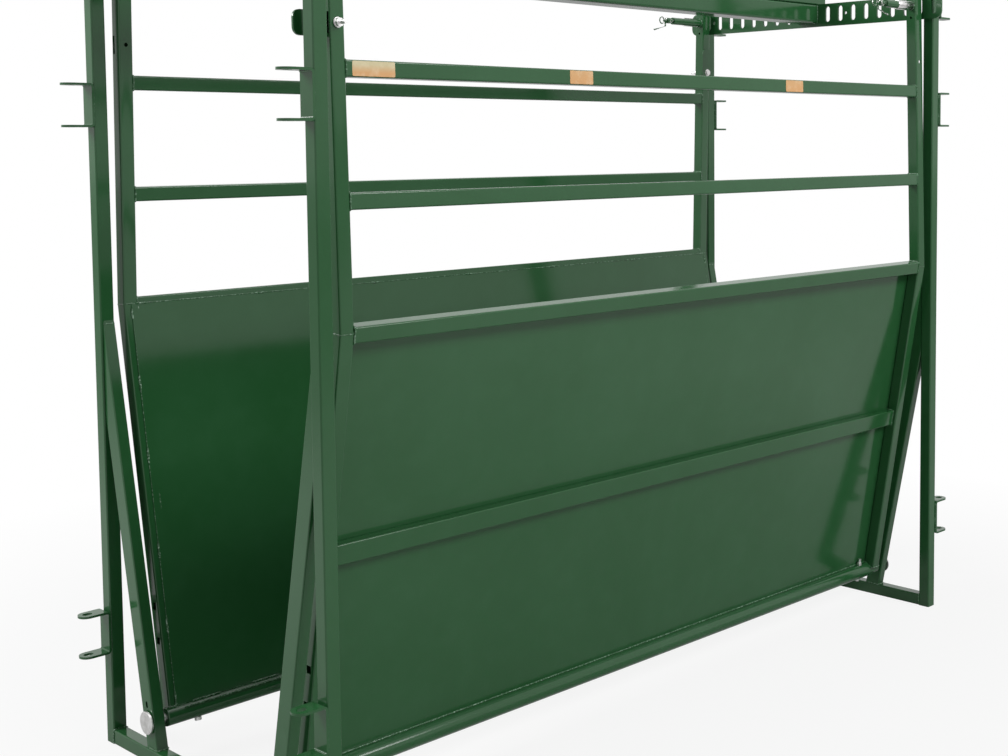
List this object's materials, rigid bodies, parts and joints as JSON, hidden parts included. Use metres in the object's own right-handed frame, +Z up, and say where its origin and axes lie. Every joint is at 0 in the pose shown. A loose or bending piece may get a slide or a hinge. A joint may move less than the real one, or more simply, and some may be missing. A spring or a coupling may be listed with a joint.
{
  "type": "livestock alley",
  "caption": "Adjustable livestock alley: two end portals with slotted top bars, a top beam, and two sheeted V sides that swing inward on bottom pivots and latch at the top.",
  "frame": {"origin": "centre of the overall box on the ground", "axes": "+X along the alley from the front portal to the rear portal, +Y to the left side, +Z up"},
  "size_m": [2.6422, 1.0738, 2.134],
  "materials": {
    "green_paint": "satin powder coat",
    "zinc_plate": "bright zinc plate"
  },
  "bodies": {
    "frame": {"front_left_upright": "green_paint", "front_left_brace": "green_paint", "front_left_lug_low": "green_paint", "front_left_lug_mid": "green_paint", "front_left_lug_top": "green_paint", "front_right_upright": "green_paint", "front_right_brace": "green_paint", "front_right_lug_low": "green_paint", "front_right_lug_mid": "green_paint", "front_right_lug_top": "green_paint", "front_sill": "green_paint", "front_slot_bar": "green_paint", "rear_left_upright": "green_paint", "rear_left_brace": "green_paint", "rear_left_lug_low": "green_paint", "rear_left_lug_mid": "green_paint", "rear_left_lug_top": "green_paint", "rear_right_upright": "green_paint", "rear_right_brace": "green_paint", "rear_right_lug_low": "green_paint", "rear_right_lug_mid": "green_paint", "rear_right_lug_top": "green_paint", "rear_sill": "green_paint", "rear_slot_bar": "green_paint", "top_beam": "green_paint", "top_cap_tube": "green_paint"},
    "left_panel": {"left_rail_1": "green_paint", "left_rail_2": "green_paint", "left_sheet_rail": "green_paint", "left_mid_rail": "green_paint", "left_pipe": "green_paint", "left_sheet": "green_paint", "front_left_post": "green_paint", "front_left_pivot_pin": "zinc_plate", "front_left_lock_bolt": "zinc_plate", "front_left_latch_body": "green_paint", "rear_left_post": "green_paint", "rear_left_pivot_pin": "zinc_plate", "rear_left_lock_bolt": "zinc_plate", "rear_left_latch_body": "green_paint"},
    "right_panel": {"right_rail_1": "green_paint", "right_rail_2": "green_paint", "right_sheet_rail": "green_paint", "right_mid_rail": "green_paint", "right_pipe": "green_paint", "right_sheet": "green_paint", "front_right_post": "green_paint", "front_right_pivot_pin": "zinc_plate", "front_right_lock_bolt": "zinc_plate", "front_right_latch_body": "green_paint", "rear_right_post": "green_paint", "rear_right_pivot_pin": "zinc_plate", "rear_right_lock_bolt": "zinc_plate", "rear_right_latch_body": "green_paint"},
    "front_left_latch_pin": {"front_left_latch_pin": "zinc_plate"},
    "front_right_latch_pin": {"front_right_latch_pin": "zinc_plate"},
    "rear_left_latch_pin": {"rear_left_latch_pin": "zinc_plate"},
    "rear_right_latch_pin": {"rear_right_latch_pin": "zinc_plate"},
    "rear_left_turn_plate": {"rear_left_turn_plate": "green_paint"},
    "front_right_turn_plate": {"front_right_turn_plate": "green_paint"}
  },
  "joints": [
    {"name": "left_panel_swing", "type": "hinge", "parent": "frame", "child": "left_panel", "pos_m": [0, 0.289, 0.105], "axis": [1, 0, 0], "range_deg": [0, 11.06]},
    {"name": "right_panel_swing", "type": "hinge", "parent": "frame", "child": "right_panel", "pos_m": [0, -0.289, 0.105], "axis": [-1, 0, 0], "range_deg": [0, 11.06]},
    {"name": "front_left_latch_slide", "type": "slide", "parent": "left_panel", "child": "front_left_latch_pin", "axis": [-1, 0, 0], "range_m": [0, 0.0155]},
    {"name": "front_right_latch_slide", "type": "slide", "parent": "right_panel", "child": "front_right_latch_pin", "axis": [-1, 0, 0], "range_m": [0, 0.0155]},
    {"name": "rear_left_latch_slide", "type": "slide", "parent": "left_panel", "child": "rear_left_latch_pin", "axis": [1, 0, 0], "range_m": [0, 0.0155]},
    {"name": "rear_right_latch_slide", "type": "slide", "parent": "right_panel", "child": "rear_right_latch_pin", "axis": [1, 0, 0], "range_m": [0, 0.0155]},
    {"name": "rear_left_turn", "type": "hinge", "parent": "left_panel", "child": "rear_left_turn_plate", "pos_m": [1.1626, 0.45908, 1.84], "axis": [0, 0.9997, 0.0227], "range_deg": [0, 90]},
    {"name": "front_right_turn", "type": "hinge", "parent": "right_panel", "child": "front_right_turn_plate", "pos_m": [-1.1626, -0.45908, 1.84], "axis": [0, -0.9997, 0.0227], "range_deg": [-90, 0]}
  ]
}
